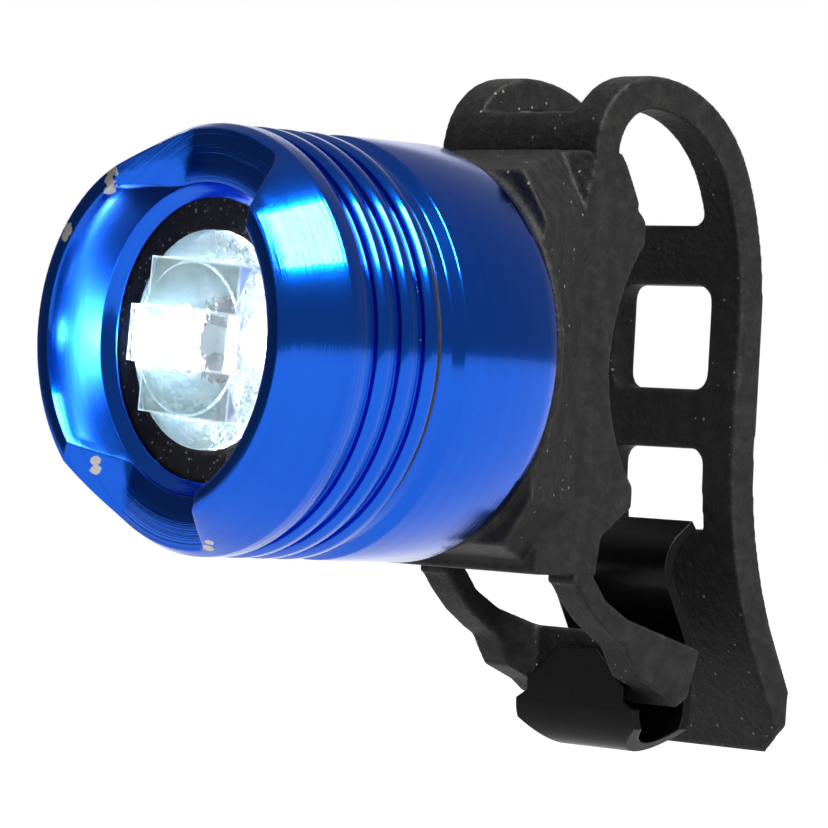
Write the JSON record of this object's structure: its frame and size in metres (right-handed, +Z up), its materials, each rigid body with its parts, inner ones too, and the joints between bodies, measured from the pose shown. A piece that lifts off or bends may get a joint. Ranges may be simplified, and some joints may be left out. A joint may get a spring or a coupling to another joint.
{
  "type": "bicycle headlight",
  "caption": "Small round aluminium bicycle headlight with a notched bezel and a press lens, on a silicone boot with a saddle, a ladder strap and a hook for the handlebar.",
  "frame": {"origin": "on the axis of the handlebar that the boot's saddle fits, midway along the saddle", "axes": "+X along the handlebar, -Y the way the lamp points, along the lamp's own axis, +Z up with the strap's arch on top"},
  "size_m": [0.028, 0.0532, 0.0463],
  "materials": {
    "blue_anodised": "satin blue anodised",
    "black_silicone": "matt",
    "clear_lens": "clear",
    "black_plastic": "matt",
    "white_plastic": "matt",
    "board_green": "solder-masked",
    "led_yellow": "clear dome over phosphor",
    "contact_metal": "plated",
    "cell_steel": "satin",
    "hook_plastic": "glossy"
  },
  "bodies": {
    "barrel": {"rear_barrel": "blue_anodised", "seam_seal": "black_silicone", "cell_sleeve": "white_plastic", "front_cell": "cell_steel", "rear_cell": "cell_steel", "rear_contact": "contact_metal", "boot_screw": "contact_metal", "boot_anchor": "cell_steel", "boot": "black_silicone"},
    "lens_seat": {"lens_retainer": "black_plastic", "board_carrier": "white_plastic", "led_board": "board_green", "led_left": "led_yellow", "led_right": "led_yellow", "controller_chip": "black_plastic", "resistors": "black_plastic", "switch_body": "black_plastic", "front_contact": "contact_metal"},
    "head": {"head_bezel": "blue_anodised"},
    "lens": {"lens": "clear_lens", "lens_diaphragm": "black_silicone"},
    "plunger": {"switch_plunger": "white_plastic"},
    "strap": {"strap": "black_silicone"},
    "tongue": {"tongue": "black_silicone", "strap_hook": "hook_plastic"}
  },
  "joints": [
    {"name": "head_draw", "type": "slide", "parent": "barrel", "child": "lens_seat", "axis": [0, -1, 0], "range_m": [0, 0.00413]},
    {"name": "head_twist", "type": "hinge", "parent": "lens_seat", "child": "head", "pos_m": [0, -0.0372, 0], "axis": [0, -1, 0], "range_deg": [0, 990]},
    {"name": "lens_press", "type": "slide", "parent": "lens_seat", "child": "lens", "axis": [0, 1, 0], "range_m": [0, 0.0005], "stiffness_N_per_m": 1500, "springref_m": -0.0003},
    {"name": "switch_travel", "type": "slide", "parent": "lens_seat", "child": "plunger", "axis": [0, 1, 0], "range_m": [0, 0.0005]},
    {"name": "strap_flex", "type": "hinge", "parent": "barrel", "child": "strap", "pos_m": [0, -0.01035, 0.0197], "axis": [1, 0, 0], "range_deg": [0, 60], "stiffness_Nm_per_rad": 0.01},
    {"name": "tongue_flex", "type": "hinge", "parent": "barrel", "child": "tongue", "pos_m": [0, -0.0152, -0.01455], "axis": [1, 0, 0], "range_deg": [-6, 8], "stiffness_Nm_per_rad": 0.01}
  ],
  "couplings": [
    {"joint": "head_draw", "follows": "head_twist", "m_per_rad": 0.00023873},
    {"joint": "switch_travel", "follows": "lens_press", "ratio": 1}
  ]
}
